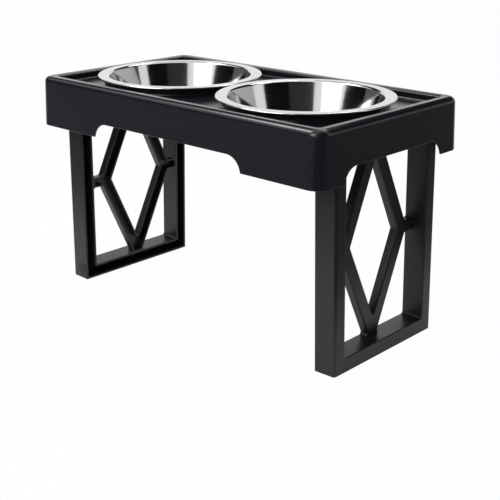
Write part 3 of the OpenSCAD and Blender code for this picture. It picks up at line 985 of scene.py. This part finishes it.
def add_floor(base):
    """Pale floor, almost clear to the camera, which keeps a trace of shadow on the white surroundings.

    A leg frame that is pulled down past it still shows, and so does the feeder from below.
    """
    material, tree = new_material("Matt white floor")
    matt = add_node(tree, "ShaderNodeBsdfDiffuse", {"Color": list(base)})
    clear = add_node(tree, "ShaderNodeBsdfTransparent")
    below = add_node(tree, "ShaderNodeNewGeometry").outputs["Backfacing"]
    share = largest(tree, background_share(tree, camera_share=0.97, mirror_share=0.25), below)
    mix = add_node(
        tree, "ShaderNodeMixShader", {0: share, 1: matt.outputs["BSDF"], 2: clear.outputs["BSDF"]}
    )
    add_node(tree, "ShaderNodeOutputMaterial", {"Surface": mix.outputs["Shader"]})
    bm = bmesh.new()
    bmesh.ops.create_grid(bm, x_segments=1, y_segments=1, size=FLOOR_REACH)
    floor = new_piece(bm, "floor", material)


def add_softbox(name, place, target, width, height, power):
    """Rectangular soft light that faces a point."""
    light = bpy.data.lights.new(name, "AREA")
    light.shape = "RECTANGLE"
    light.size = width
    light.size_y = height
    light.energy = power
    lamp = bpy.data.objects.new(name, light)
    lamp.location = place
    lamp.rotation_euler = (Vector(target) - Vector(place)).to_track_quat("-Z", "Y").to_euler()
    bpy.context.scene.collection.objects.link(lamp)


def card_material(name, hex_colour):
    """Matt surface of a flag or card."""
    material, tree = new_material(name)
    matt = add_node(tree, "ShaderNodeBsdfDiffuse", {"Color": linear(hex_colour)})
    add_node(tree, "ShaderNodeOutputMaterial", {"Surface": matt.outputs["BSDF"]})
    return material


def add_flag(name, start, end, low, high, material):
    """Upright flag or card over a line on the floor, which only reflections see."""
    bm = bmesh.new()
    corners = ((start, low), (end, low), (end, high), (start, high))
    bm.faces.new([bm.verts.new((x, y, z)) for (x, y), z in corners])
    flag = new_piece(bm, name, material)
    flag.visible_camera = False
    flag.visible_diffuse = False
    flag.visible_shadow = False


def add_lights():
    """Soft lights from three sides, and flags and cards that shape the reflections."""
    middle = (0, 0, 0.25)
    add_softbox("left_softbox", (-0.67, -0.47, 1.43), middle, width=0.6, height=0.4, power=7)
    add_softbox("back_softbox", (-0.5, 1.2, 1.9), middle, width=0.7, height=0.4, power=8)
    add_softbox("front_softbox", (0.0, -1.6, 1.1), middle, width=0.9, height=0.7, power=11)
    felt = card_material("Black felt flag", "#121212")
    slate = card_material("Slate card", "#363636")
    stone = card_material("Stone card", "#6C6C6C")
    ash = card_material("Ash card", "#8E8E8E")
    pale = card_material("Pale card", "#D8D8D8")
    # The tall ones give the bowls their bands and the rim its dark top
    add_flag("camera_card", (0.8, -1.39), (1.15, -0.42), low=0.15, high=2.4, material=slate)
    add_flag("end_flag", (1.15, -0.42), (1.5, 0.55), low=0.15, high=2.4, material=felt)
    add_flag("left_flag", (-0.6, -1.48), (-1.05, -0.49), low=0.15, high=0.85, material=felt)
    add_flag("far_card", (-1.05, -0.49), (-1.5, 0.5), low=0.15, high=0.85, material=stone)
    add_flag("back_flag", (-1.65, -0.1), (-0.2, 1.7), low=0.85, high=1.9, material=felt)
    add_flag("pale_card", (1.25, 1.0), (-0.6, 1.5), low=0.1, high=0.75, material=pale)
    add_flag("high_flag", (1.25, 1.0), (-0.6, 1.5), low=0.75, high=1.7, material=felt)
    # The low ones keep the tray and the legs' tops darker than the legs' feet, and the corner darkest
    add_flag("front_card", (-0.95, -0.15), (0.4, -0.65), low=0.0, high=0.3, material=ash)
    add_flag("corner_flag", (0.28, -0.45), (0.45, -0.1), low=0.0, high=0.3, material=felt)
    add_flag("right_card", (0.4, -0.14), (0.4, 0.9), low=0.0, high=0.3, material=stone)


def add_camera(scene, settings):
    """Camera at the photograph's angle."""
    lens = bpy.data.cameras.new("camera")
    lens.lens = settings.lens
    lens.sensor_width = SENSOR_WIDTH
    lens.sensor_fit = "HORIZONTAL"
    camera = bpy.data.objects.new("camera", lens)
    level = math.cos(settings.elevation)
    back = Vector((
        math.sin(settings.azimuth) * level,
        -math.cos(settings.azimuth) * level,
        math.sin(settings.elevation),
    ))
    camera.location = Vector(settings.target) + back * settings.distance
    camera.rotation_euler = (math.pi / 2 - settings.elevation, 0, settings.azimuth)
    scene.collection.objects.link(camera)
    scene.camera = camera


class FEEDER_PT_panel(Panel):
    """Lists the feeder's operators and settings"""

    bl_idname = "FEEDER_PT_panel"
    bl_label = "Raised dog feeder"
    bl_space_type = "VIEW_3D"
    bl_region_type = "UI"
    bl_category = "Feeder"

    def draw(self, context):
        for operator in OPERATORS:
            self.layout.operator(operator.bl_idname)
        for key in GROUPS:
            group = getattr(context.scene, key)
            box = self.layout.box()
            for name in group.bl_rna.properties.keys():
                if name not in ("rna_type", "name"):
                    box.prop(group, name)


GROUPS = {
    "feeder_tray": TraySizes,
    "feeder_sockets": SocketSizes,
    "feeder_bowls": BowlSizes,
    "feeder_legs": LegSizes,
    "feeder_pads": PadSizes,
    "feeder_finishes": Finishes,
    "feeder_stage": StageSettings,
}
OPERATORS = (FEEDER_OT_tray, FEEDER_OT_bowls, FEEDER_OT_legs, FEEDER_OT_pads, FEEDER_OT_stage)


def register():
    for key, group in GROUPS.items():
        bpy.utils.register_class(group)
        setattr(bpy.types.Scene, key, PointerProperty(type=group))
    for operator in OPERATORS:
        bpy.utils.register_class(operator)
    bpy.utils.register_class(FEEDER_PT_panel)


def unregister():
    bpy.utils.unregister_class(FEEDER_PT_panel)
    for operator in reversed(OPERATORS):
        bpy.utils.unregister_class(operator)
    for key, group in reversed(GROUPS.items()):
        delattr(bpy.types.Scene, key)
        bpy.utils.unregister_class(group)


def main():
    register()
    bpy.ops.feeder.stage()
    bpy.ops.feeder.tray()
    bpy.ops.feeder.bowls()
    bpy.ops.feeder.legs()
    bpy.ops.feeder.pads()


if __name__ == "__main__":
    main()
